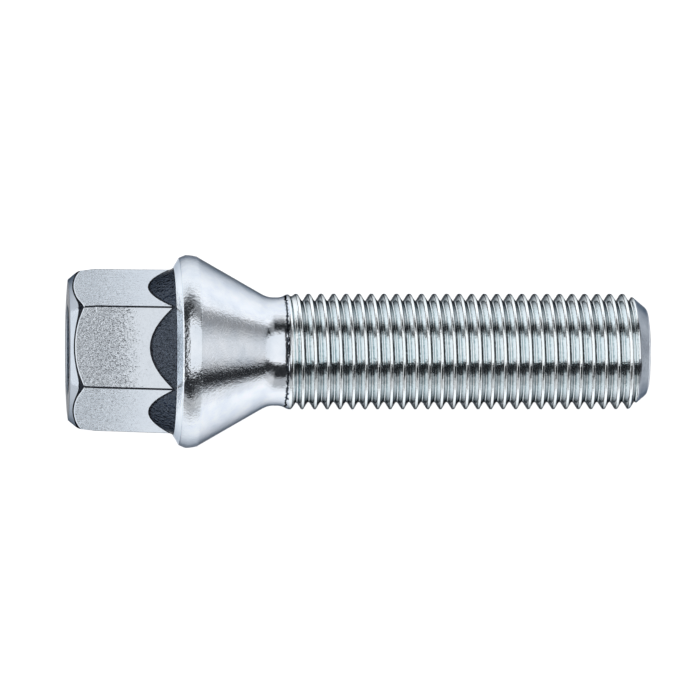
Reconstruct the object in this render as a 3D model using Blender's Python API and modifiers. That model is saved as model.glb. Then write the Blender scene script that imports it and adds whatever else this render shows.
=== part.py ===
"""Wheel bolt with a hexagon head, a cone seat and a fine right-hand thread.

The real bolt is one piece, forged and then thread-rolled. Its solids are made upright,
with the end of the head at z = 0 and the tip up along +Z. Joined into one, they are laid
down the way the bolt rests on a table: on the rim of its collar and the end of its thread.
"""
import math

import bmesh
import bpy
from mathutils import Euler, Vector, geometry

MM = 0.001

# Hexagon head. The turn is that of its upper flat from level.
HEX_SIDES = 6
ACROSS_FLATS = 16.9 * MM
HEAD_HEIGHT = 12.45 * MM
HEX_EDGE_RADIUS = 0.5 * MM
HEX_TURN = math.radians(-2.5)
END_FACE_DIAMETER = 16.4 * MM
END_CHAMFER_ANGLE = math.radians(45)
END_EDGE_RADIUS = 0.4 * MM
DISH_DIAMETER = 10.6 * MM
DISH_DEPTH = 0.5 * MM
DISH_WALL_ANGLE = math.radians(45)

# Flare between the flats and the collar. Angles of cones are from the axis of the bolt.
FLARE_ANGLE = math.radians(25)
FLARE_MARGIN = 0.2 * MM

# Collar, with a sloping back, a rounded rim and a crowned edge
COLLAR_DIAMETER = 23.0 * MM
COLLAR_BACK_ANGLE = math.radians(66)
COLLAR_RIM_RADIUS = 0.45 * MM
COLLAR_RIM_HEIGHT = 1.1 * MM
CROWN_RADIUS = 6.8 * MM
CROWN_ANGLE = math.radians(16)

# Cone seat and plain neck
SEAT_ANGLE = math.radians(30)
SEAT_FILLET_RADIUS = 3.5 * MM
NECK_DIAMETER = 12.9 * MM
NECK_LENGTH = 2.4 * MM

# Thread, which grows out of the neck along a slight cone and ends in a chamfered tip
THREAD_DIAMETER = 13.8 * MM
THREAD_LENGTH = 42.9 * MM
THREAD_DEPTH = 0.9 * MM
PITCH = 1.5 * MM
FLANK_ANGLE = math.radians(30)
FIRST_CREST = 1.0 * MM
RUN_OUT = 1.5 * MM
TIP_DIAMETER = 10.2 * MM
TIP_CHAMFER_ANGLE = math.radians(40)

# How far a solid reaches past a face that it cuts, or into the solid that it joins
OVERRUN = 0.3 * MM

# Both counts leave 2 when divided by 4, so a facet and not a corner of each ring lies lowest.
RING_SEGMENTS = 54
THREAD_SEGMENTS = 34
ROUNDING_STEPS = 4

TURN = math.radians(360)
MERGE_DISTANCE = 0.01 * MM
SHARP_EDGE_ANGLE = math.radians(22)

# Places along the axis and radii that follow from the sizes
HEX_CORNER_RADIUS = ACROSS_FLATS / math.sqrt(3)
FOOT_RADIUS = HEX_CORNER_RADIUS - HEX_EDGE_RADIUS * (2 / math.sqrt(3) - 1) + FLARE_MARGIN
COLLAR_RADIUS = COLLAR_DIAMETER / 2
CROWN_START = HEAD_HEIGHT + COLLAR_RIM_HEIGHT
SEAT_START = CROWN_START + CROWN_RADIUS * math.sin(CROWN_ANGLE)
SEAT_RADIUS = COLLAR_RADIUS - CROWN_RADIUS * (1 - math.cos(CROWN_ANGLE))
NECK_RADIUS = NECK_DIAMETER / 2
NECK_START = SEAT_START + (SEAT_RADIUS - NECK_RADIUS) / math.tan(SEAT_ANGLE)
THREAD_START = NECK_START + NECK_LENGTH
CREST_RADIUS = THREAD_DIAMETER / 2
ROOT_RADIUS = CREST_RADIUS - THREAD_DEPTH
TIP_RADIUS = TIP_DIAMETER / 2
TIP_END = THREAD_START + THREAD_LENGTH


def new_collection(name):
    """Collection of this name in the scene."""
    collection = bpy.data.collections.new(name)
    bpy.context.scene.collection.children.link(collection)
    return collection


def add_solid(name, mesh, collection):
    """Object that helps to make the bolt and is no piece of its own."""
    solid = bpy.data.objects.new(name, mesh)
    solid.display_type = 'WIRE'
    solid.hide_render = True
    collection.objects.link(solid)
    return solid


def add_swept(name, profile, segments, collection, rise=0.0, turns=1):
    """Profile of (radius, height) points swept round the axis, and up it if rise is given.

    The points run up the outside of the shape. The sweep wants them top to bottom.
    """
    mesh = bpy.data.meshes.new(name)
    points = [(radius, 0.0, height) for radius, height in reversed(profile)]
    mesh.from_pydata(points, [(index, index + 1) for index in range(len(points) - 1)], [])
    swept = add_solid(name, mesh, collection)
    sweep = swept.modifiers.new("sweep", 'SCREW')
    sweep.angle = TURN
    sweep.steps = segments
    sweep.render_steps = segments
    sweep.screw_offset = rise
    sweep.iterations = turns
    weld = swept.modifiers.new("weld", 'WELD')
    weld.merge_threshold = MERGE_DISTANCE
    return swept


def cut_or_join(solid, other, operation):
    """Combine a solid with another one, which stays as it is."""
    combine = solid.modifiers.new(other.name, 'BOOLEAN')
    combine.operation = operation
    combine.object = other


def finished_mesh(solid):
    """Mesh of a solid with all that its modifiers do."""
    depsgraph = bpy.context.evaluated_depsgraph_get()
    return bpy.data.meshes.new_from_object(solid.evaluated_get(depsgraph))


def rounded(before, corner, after, radius):
    """Points of the arc that rounds a profile's corner between its two neighbours."""
    before, corner, after = Vector(before), Vector(corner), Vector(after)
    back = (before - corner).normalized()
    ahead = (after - corner).normalized()
    half_angle = back.angle(ahead) / 2
    centre = corner + (back + ahead).normalized() * radius / math.sin(half_angle)
    start = corner + back * radius / math.tan(half_angle) - centre
    end = corner + ahead * radius / math.tan(half_angle) - centre
    steps = [index / ROUNDING_STEPS for index in range(ROUNDING_STEPS + 1)]
    return [tuple(centre + start.slerp(end, step) * radius) for step in steps]


def crown_points():
    """Arc that leaves the rim of the collar upright and leans in to the cone seat."""
    angles = [CROWN_ANGLE * index / ROUNDING_STEPS for index in range(ROUNDING_STEPS + 1)]
    centre = COLLAR_RADIUS - CROWN_RADIUS
    return [
        (centre + CROWN_RADIUS * math.cos(angle), CROWN_START + CROWN_RADIUS * math.sin(angle))
        for angle in angles
    ]


def add_blank(collection):
    """Flare, collar, cone seat and neck, turned as one."""
    flare_start_radius = ACROSS_FLATS / 2 - OVERRUN
    flare_start = HEAD_HEIGHT - (FOOT_RADIUS - flare_start_radius) / math.tan(FLARE_ANGLE)
    foot = (FOOT_RADIUS, HEAD_HEIGHT)
    rim_height = HEAD_HEIGHT + (COLLAR_RADIUS - FOOT_RADIUS) / math.tan(COLLAR_BACK_ANGLE)
    seat_start = (SEAT_RADIUS, SEAT_START)
    neck_end = (NECK_RADIUS, THREAD_START)
    taper = (NECK_RADIUS - ROOT_RADIUS) / RUN_OUT
    profile = [(0.0, flare_start), (flare_start_radius, flare_start), foot]
    profile += rounded(foot, (COLLAR_RADIUS, rim_height), (COLLAR_RADIUS, CROWN_START),
                       COLLAR_RIM_RADIUS)
    profile += crown_points()
    profile += rounded(seat_start, (NECK_RADIUS, NECK_START), neck_end, SEAT_FILLET_RADIUS)
    profile.append(neck_end)
    profile.append((ROOT_RADIUS - OVERRUN, THREAD_START + RUN_OUT + OVERRUN / taper))
    profile.append((0.0, THREAD_START + RUN_OUT + OVERRUN / taper))
    return add_swept("blank", profile, RING_SEGMENTS, collection)


def add_head(collection):
    """Hexagon with rounded edges, trimmed by a turned shape that chamfers and dishes its end.

    It is made with a corner on +Y, so half a side more turns a flat there.
    """
    top = HEAD_HEIGHT + OVERRUN
    bottom = -OVERRUN
    shape = bmesh.new()
    bmesh.ops.create_cone(shape, cap_ends=True, segments=HEX_SIDES, radius1=HEX_CORNER_RADIUS,
                          radius2=HEX_CORNER_RADIUS, depth=top - bottom)
    upright_edges = [
        edge for edge in shape.edges
        if abs(edge.verts[0].co.z - edge.verts[1].co.z) > OVERRUN
    ]
    bmesh.ops.bevel(shape, geom=upright_edges, offset=HEX_EDGE_RADIUS / math.sqrt(3),
                    segments=ROUNDING_STEPS, profile=0.5, affect='EDGES')
    mesh = bpy.data.meshes.new("head")
    shape.to_mesh(mesh)
    shape.free()
    head = add_solid("head", mesh, collection)
    head.location.z = (top + bottom) / 2
    head.rotation_euler.z = TURN / HEX_SIDES / 2 + HEX_TURN

    end_radius = END_FACE_DIAMETER / 2
    dish_radius = DISH_DIAMETER / 2
    outer_radius = HEX_CORNER_RADIUS + OVERRUN
    chamfer_top = (outer_radius, (outer_radius - end_radius) / math.tan(END_CHAMFER_ANGLE))
    profile = [
        (0.0, DISH_DEPTH),
        (dish_radius - DISH_DEPTH * math.tan(DISH_WALL_ANGLE), DISH_DEPTH),
        (dish_radius, 0.0),
    ]
    profile += rounded((dish_radius, 0.0), (end_radius, 0.0), chamfer_top, END_EDGE_RADIUS)
    profile += [chamfer_top, (outer_radius, top + OVERRUN), (0.0, top + OVERRUN)]
    trim = add_swept("head_trim", profile, RING_SEGMENTS, collection)
    cut_or_join(head, trim, 'INTERSECT')
    return head


def add_thread(collection):
    """Rod with a helical ridge from end to end, trimmed to its run-out and its chamfered tip."""
    flank_rise = THREAD_DEPTH * math.tan(FLANK_ANGLE)
    crest_half_width = (PITCH / 2 - flank_rise) / 2
    buried_turns = 3
    crest = THREAD_START + FIRST_CREST - buried_turns * PITCH
    foot = crest - crest_half_width - flank_rise
    profile = [
        (ROOT_RADIUS, foot),
        (CREST_RADIUS, crest - crest_half_width),
        (CREST_RADIUS, crest + crest_half_width),
        (ROOT_RADIUS, crest + crest_half_width + flank_rise),
        (ROOT_RADIUS, foot + PITCH),
    ]
    turns = math.ceil((THREAD_LENGTH - FIRST_CREST) / PITCH) + 2 * buried_turns
    sweep = add_swept("ridge", profile, THREAD_SEGMENTS, collection, PITCH, turns)

    shape = bmesh.new()
    shape.from_mesh(finished_mesh(sweep))
    ends = bmesh.ops.holes_fill(shape, edges=shape.edges[:])["faces"]
    bmesh.ops.poke(shape, faces=ends)
    bmesh.ops.recalc_face_normals(shape, faces=shape.faces[:])
    mesh = bpy.data.meshes.new("thread")
    shape.to_mesh(mesh)
    shape.free()
    thread = add_solid("thread", mesh, collection)

    outer_radius = CREST_RADIUS + OVERRUN
    start = (NECK_RADIUS - OVERRUN, THREAD_START - RUN_OUT)
    slope = (CREST_RADIUS - start[0]) / (2 * RUN_OUT)
    chamfer_length = (outer_radius - TIP_RADIUS) / math.tan(TIP_CHAMFER_ANGLE)
    trim_profile = [
        (0.0, start[1]),
        start,
        (outer_radius, start[1] + (outer_radius - start[0]) / slope),
        (outer_radius, TIP_END - chamfer_length),
        (TIP_RADIUS, TIP_END),
        (0.0, TIP_END),
    ]
    trim = add_swept("thread_trim", trim_profile, RING_SEGMENTS, collection)
    cut_or_join(thread, trim, 'INTERSECT')
    return thread


def zinc_plated_steel():
    """Bright zinc plate on steel, slightly blue."""
    material = bpy.data.materials.new("zinc_plated_steel")
    material.use_nodes = True
    shader = material.node_tree.nodes["Principled BSDF"]
    shader.inputs["Base Color"].default_value = (0.56, 0.60, 0.64, 1.0)
    shader.inputs["Metallic"].default_value = 1.0
    shader.inputs["Roughness"].default_value = 0.32
    return material


def resting_tilt(mesh):
    """Angle that levels the long edge of the bolt's outline from its collar to its thread."""
    outline = [(vertex.co.z, vertex.co.y) for vertex in mesh.vertices]
    hull = [Vector(outline[index]) for index in geometry.convex_hull_2d(outline)]
    lower_edges = [
        (start, end) for start, end in zip(hull, hull[1:] + hull[:1])
        if start.y < 0 and end.y < 0
    ]
    start, end = max(lower_edges, key=lambda edge: (edge[1] - edge[0]).length)
    return math.atan((end.y - start.y) / (end.x - start.x))


def lay_down(bolt):
    """Rest the bolt on z = 0, head towards -X, with its footprint centred on the origin."""
    place = bpy.data.objects.new("resting_place", None)
    place.rotation_euler = Euler((math.radians(90) + resting_tilt(bolt.data), 0.0, math.radians(90)))
    turned = [place.rotation_euler.to_matrix() @ vertex.co for vertex in bolt.data.vertices]
    low = [min(point[axis] for point in turned) for axis in range(3)]
    high = [max(point[axis] for point in turned) for axis in range(3)]
    place.location = (-(low[0] + high[0]) / 2, -(low[1] + high[1]) / 2, -low[2])
    bpy.context.scene.collection.objects.link(place)
    bolt.parent = place


for existing in list(bpy.data.objects):
    bpy.data.objects.remove(existing, do_unlink=True)

parts = new_collection("wheel_bolt")
cutters = new_collection("wheel_bolt_cutters")

blank = add_blank(cutters)
cut_or_join(blank, add_head(cutters), 'UNION')
cut_or_join(blank, add_thread(cutters), 'UNION')

wheel_bolt = bpy.data.objects.new("wheel_bolt", finished_mesh(blank))
wheel_bolt.data.materials.clear()
wheel_bolt.data.materials.append(zinc_plated_steel())
wheel_bolt.data.shade_smooth()
wheel_bolt.data.set_sharp_from_angle(angle=SHARP_EDGE_ANGLE)
parts.objects.link(wheel_bolt)
lay_down(wheel_bolt)
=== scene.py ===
"""Wheel bolt of zinc plated steel, lying on a white table under studio softboxes."""
import math

import bpy
import numpy as np
from mathutils import Euler, Matrix, Vector


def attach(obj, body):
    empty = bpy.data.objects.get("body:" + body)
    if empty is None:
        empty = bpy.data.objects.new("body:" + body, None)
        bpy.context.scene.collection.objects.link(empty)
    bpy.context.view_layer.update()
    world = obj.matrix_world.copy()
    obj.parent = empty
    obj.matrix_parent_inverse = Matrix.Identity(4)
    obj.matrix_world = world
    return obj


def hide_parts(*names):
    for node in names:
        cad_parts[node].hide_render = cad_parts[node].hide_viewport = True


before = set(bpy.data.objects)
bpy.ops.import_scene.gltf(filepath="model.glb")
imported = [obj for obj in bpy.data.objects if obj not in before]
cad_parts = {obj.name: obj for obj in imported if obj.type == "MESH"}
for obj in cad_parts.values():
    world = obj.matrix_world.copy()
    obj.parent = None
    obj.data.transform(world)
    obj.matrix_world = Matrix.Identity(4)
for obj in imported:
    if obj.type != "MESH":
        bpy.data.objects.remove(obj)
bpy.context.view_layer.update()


# ---------------------------------------------------------------------------------------
# Wheel bolt
# One piece of steel: the head, collar and cone seat are forged hot in a die, the seat and
# neck are turned, and the thread is rolled between dies. All of it is then zinc plated.
# Sizes are in millimetres, and heights run along the bolt from the end of its head.
# ---------------------------------------------------------------------------------------
MM = 0.001

# Hexagon for a 17 mm wrench, turned 2.5 degrees from level as the bolt lies. It narrows a
# little towards its end, as it left the die, and sits a little off the bolt's axis, as the
# halves of the die met.
FLAT_DISTANCE = 8.45
FLAT_DRAFT = 0.14
HEX_EDGE_RADIUS = 0.26
HEX_TURN = 87.5
HEX_SIDE = 60.0
HEX_OFFSET = 0.2

# End of the head: a chamfer round a flat face that follows the hexagon softly, and a shallow
# dish in it. The hexagon's corners are worn there, and full from CORNERS_FULL on. The edge
# of the chamfer is rounder at each corner, and beside it lies a strip of painted highlight.
END_FACE_ACROSS = 7.93
END_FACE_SPREAD = 0.4
END_CHAMFER_SLOPE = 0.83
END_CORNER_RADIUS = 1.5
CORNERS_FULL = 3.2
DRAFT_AT_CORNERS_FULL = 0.7 * FLAT_DRAFT
CHAMFER_EDGE = 0.1
CHAMFER_EDGE_AT_CORNER = 0.28
CHAMFER_PAINTED_HIGHLIGHT_WIDTH = 0.12
DISH_RADIUS = 5.3
DISH_DEPTH = 0.5
DISH_CENTRE = 0.05

# Flare from the flats to the collar, with a strip of painted shade at its start, and the collar
# with its crowned rim and cone seat
FOOT_RADIUS = 9.88
FOOT_HEIGHT = 12.45
FLARE_ANGLE = 25.0
FLARE_PAINTED_SHADE_WIDTH = 0.25
COLLAR_RADIUS = 11.47
COLLAR_EDGE_RADIUS = 11.15
COLLAR_EDGE_HEIGHT = 13.18
CROWN_START = 13.95
CROWN_RADIUS = 5.05
CROWN_ANGLE = 18.0
CROWN_ROWS = 9
SEAT_START = 15.424
SEAT_RADIUS = 11.217
SEAT_END = 23.715
SEAT_FILLET = 0.938

# Neck, which widens from its waist into the run-out of an M14 x 1.5 thread
NECK_RADIUS = 6.45
WAIST = 24.85
WAIST_CURVE = 0.26
NECK_END = 26.1
LIP_START = 25.55
LIP_GROWTH = 1.25
GROOVE_START = 25.9
GROOVE_GROWTH = 1.5
FIRST_CREST = 27.115
PITCH = 1.5
CREST_RADIUS = 6.9
ROOT_RADIUS = 6.0
CREST_HALF_WIDTH = 0.135
FLANK_SLOPE = math.tan(math.radians(60))
CREST_SOFTNESS = 0.1
ROOT_SOFTNESS = 0.16

# Chamfered tip. TIP_FACE_ROWS is how far the helix would run past it to reach its middle.
TIP_END = 69.015
TIP_RADIUS = 5.1
TIP_SLOPE = math.tan(math.radians(40))
TIP_CUT_SOFTNESS = 0.08
TIP_EDGE = 0.25
TIP_FACE_ROWS = 1.5
TIP_CENTRE = 0.01

# Columns of faces round the bolt: few on a flat, many on the round edge between two flats.
ACROSS_FLAT = [-1, -0.95, -0.82, -0.66, -0.5, -0.33, -0.16, 0, 0.16, 0.33, 0.5, 0.66, 0.82, 0.95]
EDGE_COLUMNS = 4
COLUMNS = 6 * (len(ACROSS_FLAT) + 2 * EDGE_COLUMNS)
HAIR = 1e-9
half_edge = math.radians(HEX_SIDE / 2)
flat_end = math.atan(
    (FLAT_DISTANCE - HEX_EDGE_RADIUS) * math.tan(half_edge) / FLAT_DISTANCE)
one_side = np.concatenate([
    np.linspace(-half_edge, -flat_end, EDGE_COLUMNS, endpoint=False),
    np.arctan(np.array(ACROSS_FLAT) * math.tan(flat_end)),
    np.linspace(flat_end, half_edge, EDGE_COLUMNS, endpoint=False),
])
from_flat = np.tile(one_side, 6)
sides = np.repeat(np.arange(6), len(one_side))
hex_angles = np.radians(HEX_TURN + HEX_SIDE * sides) + from_flat
even_angles = hex_angles[0] + math.tau * np.arange(COLUMNS) / COLUMNS


def hexagon(flat_distance, edge_radius):
    """Radius of a hexagon with round edges, for every column."""
    edge_centre = (flat_distance - edge_radius) / math.cos(half_edge)
    from_edge = half_edge - np.abs(from_flat)
    round_edge = edge_centre * np.cos(from_edge) + np.sqrt(
        np.maximum(edge_radius ** 2 - (edge_centre * np.sin(from_edge)) ** 2, 0))
    on_flat = np.tan(np.abs(from_flat)) * flat_distance <= (
        (flat_distance - edge_radius) * math.tan(half_edge) + HAIR)
    return np.where(on_flat, flat_distance / np.cos(from_flat), round_edge)


def ring(radius, height):
    """Points (radius, height) of one row, for every column."""
    return np.stack(np.broadcast_arrays(radius, height, np.zeros(COLUMNS))[:2], axis=1)


def toward(corner, other, reach):
    """Point this far from a corner towards its neighbour, but always short of it."""
    lengths = np.linalg.norm(other - corner, axis=1, keepdims=True)
    most_of_the_way = 0.85
    return corner + (other - corner) * np.minimum(reach / lengths, most_of_the_way)


def eased(before, corner, after, reach, steps):
    """Rows that round a corner of the outline, from reach before it to reach after it."""
    start = toward(corner, before, reach)
    end = toward(corner, after, reach)
    shares = np.linspace(0, 1, steps + 1)
    return [start * (1 - t) ** 2 + corner * 2 * t * (1 - t) + end * t ** 2 for t in shares]


def outline_rows(corners):
    """Rows along an outline, and the finish from each row to the next. Each corner is
    (points, reach, steps, rows on the way there, finish there, finish of the corner)."""
    rows = [corners[0][0]]
    finishes = []
    for index in range(1, len(corners)):
        points, reach, steps, between, way_finish, corner_finish = corners[index]
        turned = [points]
        if steps:
            turned = eased(corners[index - 1][0], points, corners[index + 1][0], reach, steps)
        last = rows[-1]
        rows += [last + (turned[0] - last) * k / (between + 1) for k in range(1, between + 1)]
        rows += turned
        finishes += [way_finish] * (between + 1) + [corner_finish] * steps
    return rows, finishes


# Finishes, in the order in which their materials are added below. FLAT is a row of the
# hexagon, where each flat is FORGED and the narrow edge between two flats is CORNER, whose
# near black colour is painted shade.
FORGED, FLARE, COLLAR, SEAT, THREAD, END, TIP, CORNER, BACK, FLAT = range(10)

hex_radii = hexagon(FLAT_DISTANCE, HEX_EDGE_RADIUS)
drafted = hexagon(FLAT_DISTANCE - FLAT_DRAFT, END_CORNER_RADIUS)
end_radii = END_FACE_ACROSS + END_FACE_SPREAD * (drafted - drafted.min())
chamfer_end = ring(drafted, (drafted - end_radii) / END_CHAMFER_SLOPE)
nearness_to_corner = (np.abs(from_flat) / half_edge)[:, None] ** 5
chamfer_reach = CHAMFER_EDGE + CHAMFER_EDGE_AT_CORNER * nearness_to_corner
corners_full = ring(hexagon(FLAT_DISTANCE - DRAFT_AT_CORNERS_FULL, HEX_EDGE_RADIUS), CORNERS_FULL)
flare_rise = (FOOT_RADIUS - hex_radii) / math.tan(math.radians(FLARE_ANGLE))
flare_start = ring(hex_radii, FOOT_HEIGHT - flare_rise)
flare_foot = ring(FOOT_RADIUS, FOOT_HEIGHT)
crown = np.radians(np.linspace(0, CROWN_ANGLE, CROWN_ROWS))
crown_rows = [
    (ring(COLLAR_RADIUS - CROWN_RADIUS * (1 - math.cos(a)), CROWN_START + CROWN_RADIUS * math.sin(a)),
     0, 0, 0, COLLAR, COLLAR)
    for a in crown[:-1]
]

# Rows of the helix within one pitch, from the far edge of the crest down into the groove
HELIX_ROWS = np.array([
    0.08, 0.115, 0.145, 0.175, 0.36, 0.55, 0.62, 0.69, 0.75,
    0.81, 0.88, 0.95, 1.14, 1.325, 1.355, 1.385, 1.42,
])
first_turn = even_angles[0] / math.tau
helix_start = FIRST_CREST + PITCH * (first_turn - 2) + HELIX_ROWS[0]
helix_shares = (HELIX_ROWS - HELIX_ROWS[0]) / PITCH

# The outline, from the middle of the dish to the start of the thread: points, reach, steps,
# rows on the way there, finish there, finish of the corner
bolt_rows, row_finishes = outline_rows([
    # The dish takes the flare finish too, dark with painted shade.
    (ring(DISH_CENTRE, DISH_DEPTH), 0, 0, 0, FLARE, FLARE),
    (ring(DISH_RADIUS - DISH_DEPTH, DISH_DEPTH), 0.35, 5, 4, FLARE, FLARE),
    (ring(DISH_RADIUS, 0), 0.14, 4, 1, FLARE, END),
    (ring(end_radii, 0), 0.08, 4, 4, END, END),
    (chamfer_end, chamfer_reach, 8, 2, END, CORNER),
    # A strip of the bright collar finish beside the chamfer: a painted highlight.
    (toward(chamfer_end, corners_full, chamfer_reach + CHAMFER_PAINTED_HIGHLIGHT_WIDTH), 0, 0, 0, COLLAR, COLLAR),
    (corners_full, 0, 0, 8, FLAT, FLAT),
    (flare_start, 0.07, 4, 12, FLAT, CORNER),
    # A strip of the corner finish at the start of the flare: painted shade.
    (toward(flare_start, flare_foot, FLARE_PAINTED_SHADE_WIDTH), 0, 0, 0, CORNER, CORNER),
    (flare_foot, 0.1, 4, 8, FLARE, FLARE),
    (ring(COLLAR_EDGE_RADIUS, COLLAR_EDGE_HEIGHT), 0.14, 6, 4, BACK, COLLAR),
    *crown_rows,
    (ring(SEAT_RADIUS, SEAT_START), 0.05, 3, 1, COLLAR, COLLAR),
    (ring(NECK_RADIUS, SEAT_END), SEAT_FILLET, 12, 16, SEAT, SEAT),
    (ring(NECK_RADIUS, helix_start), 0, 0, 0, SEAT, SEAT),
])


def softly_lower(first, second, softness):
    """The lower of two heights, rounded where they cross."""
    return (first + second - np.sqrt((first - second) ** 2 + softness ** 2)) / 2


def body_radius(height, angle):
    """Radius of the neck and the thread. The ridge swells out of the neck and the groove
    sinks into it, until both are full."""
    from_crest = (height - FIRST_CREST - PITCH * angle / math.tau + PITCH / 2) % PITCH - PITCH / 2
    drop = -softly_lower(0, -FLANK_SLOPE * (np.abs(from_crest) - CREST_HALF_WIDTH), CREST_SOFTNESS)
    share = softly_lower(drop, CREST_RADIUS - ROOT_RADIUS, ROOT_SOFTNESS)
    share = np.clip(share / (CREST_RADIUS - ROOT_RADIUS), 0, 1)
    neck = NECK_RADIUS + WAIST_CURVE * np.clip(height - WAIST, 0, NECK_END - WAIST) ** 2
    swell = 1 - np.exp(-np.maximum(height - LIP_START, 0) / LIP_GROWTH)
    sunk = np.clip((height - GROOVE_START) / GROOVE_GROWTH, 0, 1)
    crest = neck + (CREST_RADIUS - neck) * swell
    root = neck - (neck - ROOT_RADIUS) * sunk * sunk * (3 - 2 * sunk)
    radius = crest + (root - crest) * share
    return softly_lower(radius, TIP_RADIUS + TIP_SLOPE * (TIP_END - height), TIP_CUT_SOFTNESS)


def tip_points(along, radius):
    """Bends rows that run past the end of the tip round its edge and across its face."""
    face_radius = TIP_RADIUS * (1 - (along - TIP_END) / TIP_FACE_ROWS)
    radius = np.where(along > TIP_END, face_radius, radius)
    height = np.minimum(along, TIP_END)
    bend_end = TIP_END + TIP_EDGE / 3
    t = np.clip((along - TIP_END + TIP_EDGE) / (bend_end - TIP_END + TIP_EDGE), 0, 1)
    inner = TIP_RADIUS * (1 - TIP_EDGE / 3 / TIP_FACE_ROWS)
    bend_radius = ((TIP_RADIUS + TIP_SLOPE * TIP_EDGE) * (1 - t) ** 2
                   + TIP_RADIUS * 2 * t * (1 - t) + inner * t ** 2)
    bend_height = (TIP_END - TIP_EDGE) * (1 - t) ** 2 + TIP_END * (1 - (1 - t) ** 2)
    bending = (t > 0) & (t < 1)
    return np.where(bending, bend_radius, radius), np.where(bending, bend_height, height)


def placed(radius, angle, height):
    """Points at these radii and angles about the bolt's axis, and at these heights."""
    return np.stack([radius * np.cos(angle), radius * np.sin(angle), height], axis=-1)


# Rings of points up to the neck. The columns even out over the collar.
points = [np.array([[HEX_OFFSET, 0.0, DISH_DEPTH]])]
ring_numbers = []
count = 1
for row in bolt_rows:
    evened = np.clip((row[:, 1] - FOOT_HEIGHT) / (SEAT_START - FOOT_HEIGHT), 0, 1)
    angles = hex_angles + (even_angles - hex_angles) * evened
    aside = HEX_OFFSET * np.clip((FOOT_HEIGHT - row[:, 1]) / (FOOT_HEIGHT - CORNERS_FULL), 0, 1)
    points.append(placed(row[:, 0], angles, row[:, 1]))
    points[-1][:, 0] += aside
    ring_numbers.append(count + np.arange(COLUMNS))
    count += COLUMNS
last_ring = ring_numbers[-1]

# Rows that wind up the thread as one helix, from the neck to the middle of the tip's face
turns = np.arange(COLUMNS) / COLUMNS
windings = math.ceil((TIP_END + TIP_FACE_ROWS - helix_start) / PITCH) + 1
shares = np.concatenate([helix_shares + winding for winding in range(windings)])
along = helix_start + PITCH * (shares[:, None] + turns[None, :])
angles = np.broadcast_to(even_angles, along.shape)
radius, height = tip_points(along, body_radius(along, angles))
at_centre = radius <= TIP_CENTRE
helix_points = placed(radius, angles, height)
helix_numbers = np.full(along.shape, -1)
kept = ~at_centre
kept[0, 0] = False
helix_numbers[kept] = count + np.arange(kept.sum())
points.append(helix_points[kept])
count += int(kept.sum())
points.append(np.array([[0.0, 0.0, TIP_END]]))
helix_numbers[at_centre] = count
count += 1
helix_numbers[0, 0] = last_ring[0]

# A fan of rows between the last ring and the start of the helix
steps = len(helix_shares)
fan_numbers = np.full((steps + 1, COLUMNS + 1), last_ring[0])
fan_numbers[0, :COLUMNS] = last_ring
fan_numbers[steps, :COLUMNS] = helix_numbers[0]
fan_numbers[1:, COLUMNS] = helix_numbers[1:steps + 1, 0]
for step in range(1, steps):
    along = helix_start + PITCH * helix_shares[step] * turns[1:]
    points.append(placed(body_radius(along, even_angles[1:]), even_angles[1:], along))
    fan_numbers[step, 1:COLUMNS] = count + np.arange(COLUMNS - 1)
    count += COLUMNS - 1


def faces_between(lower, upper):
    """Faces between two rows of point numbers, without corners that fall together."""
    made = []
    for corner in zip(lower[:-1], lower[1:], upper[1:], upper[:-1]):
        distinct = list(dict.fromkeys(int(number) for number in corner))
        if len(distinct) > 2:
            made.append(distinct)
    return made


past_flat = np.abs(from_flat) >= flat_end - HAIR
on_round_edge = past_flat & np.roll(past_flat, -1)
faces = faces_between([0] * (COLUMNS + 1), [*ring_numbers[0], ring_numbers[0][0]])
finishes = [FLARE] * len(faces)
for lower, upper, finish in zip(ring_numbers[:-1], ring_numbers[1:], row_finishes):
    faces += faces_between([*lower, lower[0]], [*upper, upper[0]])
    if finish == FLAT:
        finishes += np.where(on_round_edge, CORNER, FORGED).tolist()
    finishes += [finish] * (len(faces) - len(finishes))
for lower, upper in zip(fan_numbers[:-1], fan_numbers[1:]):
    faces += faces_between(lower, upper)
for row in range(len(helix_numbers) - steps - 1):
    lower = [*helix_numbers[row], helix_numbers[row + steps][0]]
    upper = [*helix_numbers[row + 1], helix_numbers[row + 1 + steps][0]]
    faces += faces_between(lower, upper)

# The faces past the last ring are seat up to the end of the neck, and then thread or tip.
bolt_points = np.concatenate(points)
NEAR_CHAMFER = 0.1
NEAR_TIP_EDGE = 0.02
for face in faces[len(finishes):]:
    middle = bolt_points[face].mean(axis=0)
    from_chamfer = TIP_RADIUS + TIP_SLOPE * (TIP_END - middle[2]) - math.hypot(*middle[:2])
    on_tip = from_chamfer < NEAR_CHAMFER or middle[2] > TIP_END - TIP_EDGE - NEAR_TIP_EDGE
    finishes.append(SEAT if middle[2] < NECK_END else TIP if on_tip else THREAD)

bolt_mesh = bpy.data.meshes.new("wheel_bolt_finished")
bolt_mesh.from_pydata((bolt_points * MM).tolist(), [], faces)
bolt_mesh.validate()
bolt_mesh.shade_smooth()
bolt = bpy.data.objects.new("wheel_bolt_finished", bolt_mesh)
bpy.context.scene.collection.objects.link(bolt)
weighting = bolt.modifiers.new("flat faces stay flat", 'WEIGHTED_NORMAL')
weighting.weight = 50

# The bolt lies on the rim of its collar and on its last turn of thread.
REST_PLACE = (-34.2436209 * MM, 0.0, 12.6768098 * MM)
REST_TURN = (math.radians(95.062), 0.0, math.radians(90))
bolt_mesh.transform(Matrix.LocRotScale(REST_PLACE, Euler(REST_TURN), None))


def linear(hex_colour):
    """Linear colour of an sRGB hex value."""
    channels = [int(hex_colour[start:start + 2], 16) / 255 for start in (1, 3, 5)]
    return tuple(
        c / 12.92 if c <= 0.04045 else ((c + 0.055) / 1.055) ** 2.4 for c in channels
    ) + (1.0,)


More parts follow.
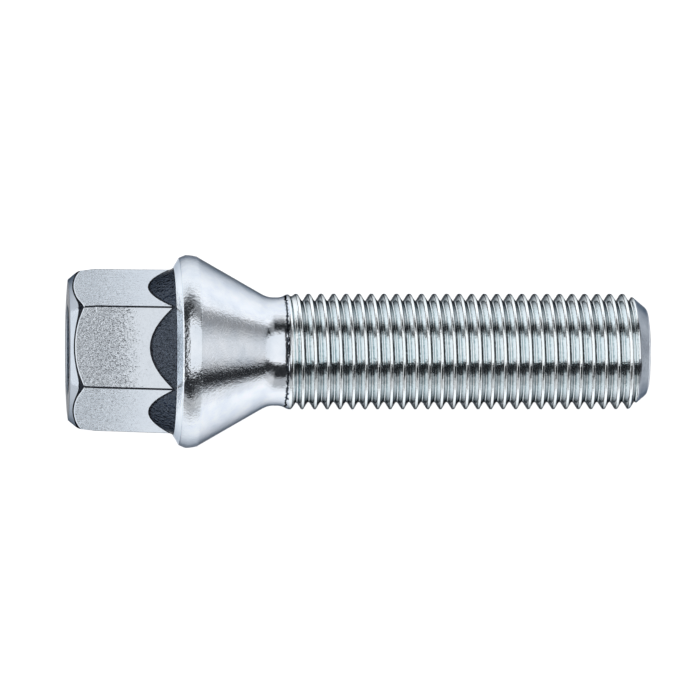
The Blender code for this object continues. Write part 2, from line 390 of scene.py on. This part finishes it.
def add_node(tree, kind, inputs=None, **settings):
    """Add a node with its settings. An input is a value, or the socket that feeds it."""
    node = tree.nodes.new(kind)
    for name, value in settings.items():
        setattr(node, name, value)
    for name, value in (inputs or {}).items():
        if isinstance(value, bpy.types.NodeSocket):
            tree.links.new(value, node.inputs[name])
        else:
            node.inputs[name].default_value = value
    return node


def new_material(name):
    """Material of this name, with no nodes yet."""
    material = bpy.data.materials.new(name)
    material.use_nodes = True
    material.node_tree.nodes.clear()
    return material


# Tints of the passivated skin change over about 2.5 mm on real plate too. The pits of a
# plating bath are 0.01 to 0.05 mm across and are drawn at 0.16 mm, a pixel and a half, or
# they would not show. Dimples are darkened with painted shade at their bottoms, below a set
# share of the grain's height.
PATCH_SIZE = 2.5
PIT_SIZE = 0.16
DIMPLE_SHADE_BELOW = 0.52
DIMPLE_SHADE_FULLY = 0.38
DIMPLE_PAINTED_SHADE = "#4C525C"
IRONED_STRENGTH = 0.12
LINE_WANDER = 0.07


def zinc_plate(name, light, dark, edge, grain_size, grain_height, grain_shade, pit_height,
               roughness, ironed=(), lines=(), band=()):
    """Bright zinc plate. Its passivated skin shifts between two tints over a few millimetres,
    and the steel under it shows as a grain of dimples, with painted shade at their bottom,
    with fine pits of the plating bath. Where the eye meets it at a low angle it takes the edge
    tint. The grain fades between the two heights of ironed. Painted lines of shade and
    reflection along the thread are given as (share of the pitch past the crest, half width,
    shade), and a band of painted light round the bolt, dark or bright, as (start, end, how
    far its edges stray, shade)."""
    material = new_material(name)
    tree = material.node_tree
    bolt_axes = add_node(tree, "ShaderNodeMapping", {
        "Vector": add_node(tree, "ShaderNodeTexCoord").outputs["Object"],
        "Location": REST_PLACE, "Rotation": REST_TURN}, vector_type='TEXTURE')
    place = bolt_axes.outputs["Vector"]
    patches = add_node(tree, "ShaderNodeTexNoise", {
        "Vector": place, "Scale": 1 / (PATCH_SIZE * MM), "Detail": 3.0})
    tint = add_node(tree, "ShaderNodeMix", {
        "Factor": patches.outputs["Fac"], "A": linear(light), "B": linear(dark)},
        data_type='RGBA')
    grain = add_node(tree, "ShaderNodeTexNoise", {
        "Vector": place, "Scale": 1 / (grain_size * MM), "Detail": 2.0})
    # Painted shade at the bottoms of the dimples.
    bottoms = add_node(tree, "ShaderNodeMapRange", {
        "Value": grain.outputs["Fac"], "From Min": DIMPLE_SHADE_BELOW, "From Max": DIMPLE_SHADE_FULLY,
        "To Min": 0.0, "To Max": grain_shade})
    skin = add_node(tree, "ShaderNodeMix", {
        "Factor": bottoms.outputs["Result"], "A": tint.outputs["Result"],
        "B": linear(DIMPLE_PAINTED_SHADE)}, data_type='RGBA')
    pits = add_node(tree, "ShaderNodeTexNoise", {
        "Vector": place, "Scale": 1 / (PIT_SIZE * MM), "Detail": 2.0})
    apart = add_node(tree, "ShaderNodeSeparateXYZ", {"Vector": place})
    depth = 1.0
    if ironed:
        fading = add_node(tree, "ShaderNodeMapRange", {
            "Value": apart.outputs["Z"], "From Min": ironed[0] * MM, "From Max": ironed[1] * MM,
            "To Min": 1.0, "To Max": IRONED_STRENGTH})
        depth = fading.outputs["Result"]
    dimpled = add_node(tree, "ShaderNodeBump", {
        "Height": grain.outputs["Fac"], "Distance": grain_height * MM, "Strength": depth})
    pitted = add_node(tree, "ShaderNodeBump", {
        "Height": pits.outputs["Fac"], "Distance": pit_height * MM, "Strength": 1.0,
        "Normal": dimpled.outputs["Normal"]})
    # Painted lines along the helix: shade under each crest and reflections in the groove.
    if lines:
        angle = add_node(tree, "ShaderNodeMath", {
            0: apart.outputs["Y"], 1: apart.outputs["X"]}, operation='ARCTAN2')
        turns = add_node(tree, "ShaderNodeMath", {
            0: angle.outputs[0], 1: -1 / math.tau, 2: -FIRST_CREST / PITCH},
            operation='MULTIPLY_ADD')
        wander = add_node(tree, "ShaderNodeMath", {
            0: pits.outputs["Fac"], 1: LINE_WANDER, 2: turns.outputs[0]},
            operation='MULTIPLY_ADD')
        phase = add_node(tree, "ShaderNodeMath", {
            0: apart.outputs["Z"], 1: 1 / (PITCH * MM), 2: wander.outputs[0]},
            operation='MULTIPLY_ADD')
        within = add_node(tree, "ShaderNodeMath", {0: phase.outputs[0]}, operation='FRACT')
        ramp = add_node(tree, "ShaderNodeValToRGB", {"Fac": within.outputs[0]})
        stops = ramp.color_ramp.elements
        stops[0].color = stops[1].color = linear("#FFFFFF")
        for share, half_width, shade in lines:
            for position, colour in ((share - half_width, "#FFFFFF"), (share, shade),
                                     (share + half_width, "#FFFFFF")):
                stops.new(position + LINE_WANDER / 2).color = linear(colour)
        skin = add_node(tree, "ShaderNodeMix", {
            "Factor": 1.0, "A": skin.outputs["Result"], "B": ramp.outputs["Color"]},
            data_type='RGBA', blend_type='MULTIPLY')
    # A painted band round the bolt: shade on the neck, a highlight on the tip.
    if band:
        start, end, straying, shade = band
        ragged = add_node(tree, "ShaderNodeMath", {
            0: grain.outputs["Fac"], 1: straying * MM, 2: apart.outputs["Z"]},
            operation='MULTIPLY_ADD')
        inside = add_node(tree, "ShaderNodeMath", {
            0: ragged.outputs[0], 1: (start + end + straying) / 2 * MM,
            2: (end - start) / 2 * MM}, operation='COMPARE')
        skin = add_node(tree, "ShaderNodeMix", {
            "Factor": inside.outputs[0], "A": skin.outputs["Result"], "B": linear(shade)},
            data_type='RGBA')
    shader = add_node(tree, "ShaderNodeBsdfPrincipled", {
        "Base Color": skin.outputs["Result"], "Metallic": 1.0, "Roughness": roughness,
        "Specular Tint": linear(edge),
        "Normal": pitted.outputs["Normal"]})
    add_node(tree, "ShaderNodeOutputMaterial", {"Surface": shader.outputs["BSDF"]})
    return material


# Bright plate over the skin of a hot forging: pale grey flats that sparkle, as each side of
# a dimple mirrors something else, and calm towards the collar, where the die ironed them.
# Such dimples are 0.05 to 0.2 mm across. They are drawn at 0.32 mm, so that they show.
forged_plate = zinc_plate(
    "zinc_plate_on_forged_head", light="#D0D6DD", dark="#C6CDD5", edge="#C0C6CC",
    grain_size=0.32, grain_height=0.42, grain_shade=0.06, pit_height=0.012, roughness=0.12,
    ironed=(2.5, 10.0))

# Zinc plate in the hollows of the forging, the flares and the dish, with painted shade: a dark
# slate colour that stands for shade and dark reflections there, with a faint tooth, so that the
# arches stand out. The grain is drawn coarser, as on the flats.
flare_plate = zinc_plate(
    "zinc_plate_with_painted_shade_in_flares", light="#545B66", dark="#484F59", edge="#3A4048",
    grain_size=0.38, grain_height=0.42, grain_shade=0.0, pit_height=0.012, roughness=0.1)

# Bright plate on the collar's rim, which the die pressed smooth: it mirrors the softboxes and
# the gaps between them with ragged borders, as its skin waves over about 0.4 mm. The strip of
# painted highlight beside the hexagon's chamfer has this finish too.
collar_plate = zinc_plate(
    "zinc_plate_on_forged_collar", light="#EFF2F6", dark="#BDC8D4", edge="#636A74",
    grain_size=0.38, grain_height=0.035, grain_shade=0.0, pit_height=0.012, roughness=0.14)

# Bright plate on turned steel, the cone and the neck: calmer mirror images than on the rim,
# darker at the outline. A ragged dark ring of painted shade lies where the turned neck meets the
# rolled thread. The marks of the tool, about 0.1 mm apart, are too fine to show, and a soft grain
# of 0.36 mm stands for them.
seat_plate = zinc_plate(
    "zinc_plate_on_turned_seat", light="#F2F4F8", dark="#C0CBD8", edge="#555C65",
    grain_size=0.36, grain_height=0.015, grain_shade=0.0, pit_height=0.01, roughness=0.12,
    band=(25.62, 25.9, 0.7, "#3A3F47"))

# Bright plate on a rolled thread: the dies burnish it, so it is the most mirror-like. Painted
# lines run with it: painted shade under each crest, and painted reflections, a blue one in the
# groove and a brown one before the next crest. They are 0.1 to 0.2 mm wide, as wide as they
# need to be to show.
thread_plate = zinc_plate(
    "zinc_plate_on_rolled_thread", light="#F6F9FB", dark="#E6F0F4", edge="#2A2E34",
    grain_size=0.3, grain_height=0.012, grain_shade=0.0, pit_height=0.01, roughness=0.1,
    lines=((0.15, 0.05, "#34393F"), (0.43, 0.06, "#7C989E"), (0.88, 0.035, "#6E6461")))

# Bright plate on the sheared end of the head and its chamfer: an even satin grey.
end_plate = zinc_plate(
    "zinc_plate_on_head_end", light="#BBC2CB", dark="#A6AEB8", edge="#454B54",
    grain_size=0.3, grain_height=0.02, grain_shade=0.0, pit_height=0.008, roughness=0.2)

# Zinc plate on the pressed tip: a cloudy mid grey, darker than the thread, with a painted
# highlight along the edge between its chamfer and its face.
tip_plate = zinc_plate(
    "zinc_plate_on_tip_with_painted_highlight", light="#B4BBC4", dark="#525A66", edge="#868E98",
    grain_size=0.3, grain_height=0.03, grain_shade=0.0, pit_height=0.008, roughness=0.2,
    band=(68.82, 68.95, 0.1, "#DDE2E8"))

# Painted shade on the sharp corners that the die left: near black lines that draw the
# hexagon's edges, its end and the arches of the flares.
corner_plate = zinc_plate(
    "painted_shade_on_die_corners", light="#3E424A", dark="#2C2F35", edge="#2C2F35",
    grain_size=0.3, grain_height=0.5, grain_shade=0.0, pit_height=0.012, roughness=0.2)

# Zinc plate on the collar's back, brighter than the rim's as a painted highlight: a pale, bluish
# strip between the flares and the rim.
back_plate = zinc_plate(
    "zinc_plate_with_painted_highlight_on_collar_back", light="#F6FBFF", dark="#ECF4FC", edge="#A8AFB8",
    grain_size=0.38, grain_height=0.02, grain_shade=0.0, pit_height=0.012, roughness=0.14)

for plate in (forged_plate, flare_plate, collar_plate, seat_plate, thread_plate, end_plate,
              tip_plate, corner_plate, back_plate):
    bolt_mesh.materials.append(plate)
bolt_mesh.polygons.foreach_set("material_index", finishes)
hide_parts("wheel_bolt")
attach(bolt, "root")


# ---------------------------------------------------------------------------------------
# Table and studio
# A round table of matt white paper with a low border, in a dark studio. White softboxes
# stand round it, with dark gaps between them that draw the dark streaks on the bolt.
# ---------------------------------------------------------------------------------------
TABLE_RADIUS = 2.0
BORDER_HEIGHT = 0.18
TABLE_SIDES = 96

table_mesh = bpy.data.meshes.new("white_table")
rim = [(math.cos(math.tau * k / TABLE_SIDES), math.sin(math.tau * k / TABLE_SIDES))
       for k in range(TABLE_SIDES)]
table_points = [(x * TABLE_RADIUS, y * TABLE_RADIUS, 0.0) for x, y in rim]
table_points += [(x * TABLE_RADIUS, y * TABLE_RADIUS, BORDER_HEIGHT) for x, y in rim]
table_faces = [list(range(TABLE_SIDES))]
for k in range(TABLE_SIDES):
    following = (k + 1) % TABLE_SIDES
    table_faces.append([following, k, k + TABLE_SIDES, following + TABLE_SIDES])
table_mesh.from_pydata(table_points, [], table_faces)
table = bpy.data.objects.new("white_table", table_mesh)
bpy.context.scene.collection.objects.link(table)

# Matt white paper: it spreads the light evenly and shows no gloss. To the camera, and in
# metal, it looks white up to WHITE_WITHIN of its middle, and then greys to its border, a
# painted shade in its colour and glow that stands for the light falling off.
WHITE_WITHIN = 0.14
GREY_FROM = 0.9
GREY_SHARE = 0.42
PAPER_GLOW = 0.64
white = new_material("matt_white_table")
tree = white.node_tree
far = add_node(tree, "ShaderNodeVectorMath", {
    0: add_node(tree, "ShaderNodeTexCoord").outputs["Object"]}, operation='LENGTH')
nearness = add_node(tree, "ShaderNodeMapRange", {
    "Value": far.outputs["Value"], "From Min": WHITE_WITHIN, "From Max": GREY_FROM,
    "To Min": 1.0, "To Max": GREY_SHARE})
path = add_node(tree, "ShaderNodeLightPath")
seen = add_node(tree, "ShaderNodeMath", {
    0: path.outputs["Is Camera Ray"], 1: path.outputs["Is Glossy Ray"]},
    operation='MAXIMUM')
seen_too = add_node(tree, "ShaderNodeMath", {
    0: seen.outputs[0], 1: path.outputs["Is Transmission Ray"]}, operation='MAXIMUM')
seen_near = add_node(tree, "ShaderNodeMath", {
    0: seen_too.outputs[0], 1: nearness.outputs["Result"]}, operation='MULTIPLY')
glow = add_node(tree, "ShaderNodeMath", {
    0: seen_near.outputs[0], 1: PAPER_GLOW}, operation='MULTIPLY')
paper = add_node(tree, "ShaderNodeMix", {
    "Factor": nearness.outputs["Result"], "A": linear("#6E7073"), "B": linear("#E8E9EA")},
    data_type='RGBA')
lit = add_node(tree, "ShaderNodeBsdfDiffuse", {"Color": paper.outputs["Result"]})
shine = add_node(tree, "ShaderNodeEmission", {
    "Color": linear("#FFFFFF"), "Strength": glow.outputs[0]})
both = add_node(tree, "ShaderNodeAddShader", {0: lit.outputs[0], 1: shine.outputs[0]})
add_node(tree, "ShaderNodeOutputMaterial", {"Surface": both.outputs[0]})
table_mesh.materials.append(white)

world = bpy.data.worlds.new("dark_studio")
world.use_nodes = True
world.node_tree.nodes["Background"].inputs["Color"].default_value = linear("#2B2C2E")
world.node_tree.nodes["Background"].inputs["Strength"].default_value = 1.0
bpy.context.scene.world = world


def add_softbox(name, centre, width, depth, aim, brightness):
    """Softbox of this width along X or Y and this depth, that faces aim. Its brightness is
    how white it looks in a mirror, so its power grows with its area."""
    lamp = bpy.data.lights.new(name, 'AREA')
    lamp.shape = 'RECTANGLE'
    lamp.size = width
    lamp.size_y = depth
    lamp.energy = brightness * math.pi * width * depth
    box = bpy.data.objects.new(name, lamp)
    box.location = centre
    box.rotation_euler = Vector(aim).to_track_quat('-Z', 'Y').to_euler()
    box.visible_camera = False
    bpy.context.scene.collection.objects.link(box)


# Name, centre, width, depth, facing and brightness of each lamp, in metres. Lamps that
# overlap, a millimetre apart, make one softbox that is brighter in its middle or at its
# foot. The two corner panels are for the crown of the collar.
FROM_OVERHEAD = (0, 0, -1)
FROM_UPPER_SIDE = (0, -1, 0)
FROM_LOWER_SIDE = (0, 1, 0)
FROM_TIP = (-1, 0, 0)
FROM_HEAD = (1, 0, 0)
add_softbox("overhead_softbox", (0.113, 0.165, 0.6), 0.974, 0.91, FROM_OVERHEAD, 0.35)
add_softbox("overhead_middle", (0.113, 0.1, 0.599), 0.974, 0.78, FROM_OVERHEAD, 0.75)
add_softbox("overhead_far_end", (0.925, 0.126, 0.6), 0.65, 0.827, FROM_OVERHEAD, 1.05)
add_softbox("upper_side_panel", (-0.115, 0.6, 0.155), 1.77, 0.31, FROM_UPPER_SIDE, 0.3)
add_softbox("upper_side_panel_foot", (-0.115, 0.599, 0.1), 1.77, 0.2, FROM_UPPER_SIDE, 0.62)
add_softbox("lower_side_panel", (-0.04, -0.6, 0.1925), 1.92, 0.385, FROM_LOWER_SIDE, 0.53)
add_softbox("lower_side_panel_foot", (-0.04, -0.599, 0.06), 1.92, 0.12, FROM_LOWER_SIDE, 0.22)
add_softbox("upper_corner_panel", (0.42, 0.598, 0.35), 0.44, 0.5, FROM_UPPER_SIDE, 0.28)
add_softbox("lower_corner_panel", (0.42, -0.598, 0.35), 0.44, 0.5, FROM_LOWER_SIDE, 0.18)
add_softbox("tip_panel", (1.5, 0.11, 0.35), 1.22, 0.7, FROM_TIP, 0.5)
add_softbox("tip_panel_middle", (1.499, 0.1, 0.35), 0.9, 0.7, FROM_TIP, 0.2)
add_softbox("tip_panel_core", (1.498, 0.08, 0.35), 0.56, 0.7, FROM_TIP, 0.17)
add_softbox("tip_panel_dim_end", (1.5, 0.944, 0.35), 0.448, 0.7, FROM_TIP, 0.33)
add_softbox("head_panel", (-0.9, 0.0, 0.39), 1.2, 0.78, FROM_HEAD, 1.5)


# ---------------------------------------------------------------------------------------
# Camera
# It looks down on the bolt from 0.9 m with a long lens, a little off plumb.
# ---------------------------------------------------------------------------------------
lens = bpy.data.cameras.new("long_lens")
lens.sensor_width = 36.0
lens.lens = 385.0
lens.clip_start = 0.05
lens.clip_end = 20.0
camera = bpy.data.objects.new("camera", lens)
camera.location = (0.009, 0.00018, 0.9)
camera.rotation_euler = (0.0, math.radians(0.63), 0.0)
bpy.context.scene.collection.objects.link(camera)
bpy.context.scene.camera = camera
bpy.context.scene.view_settings.view_transform = 'Standard'
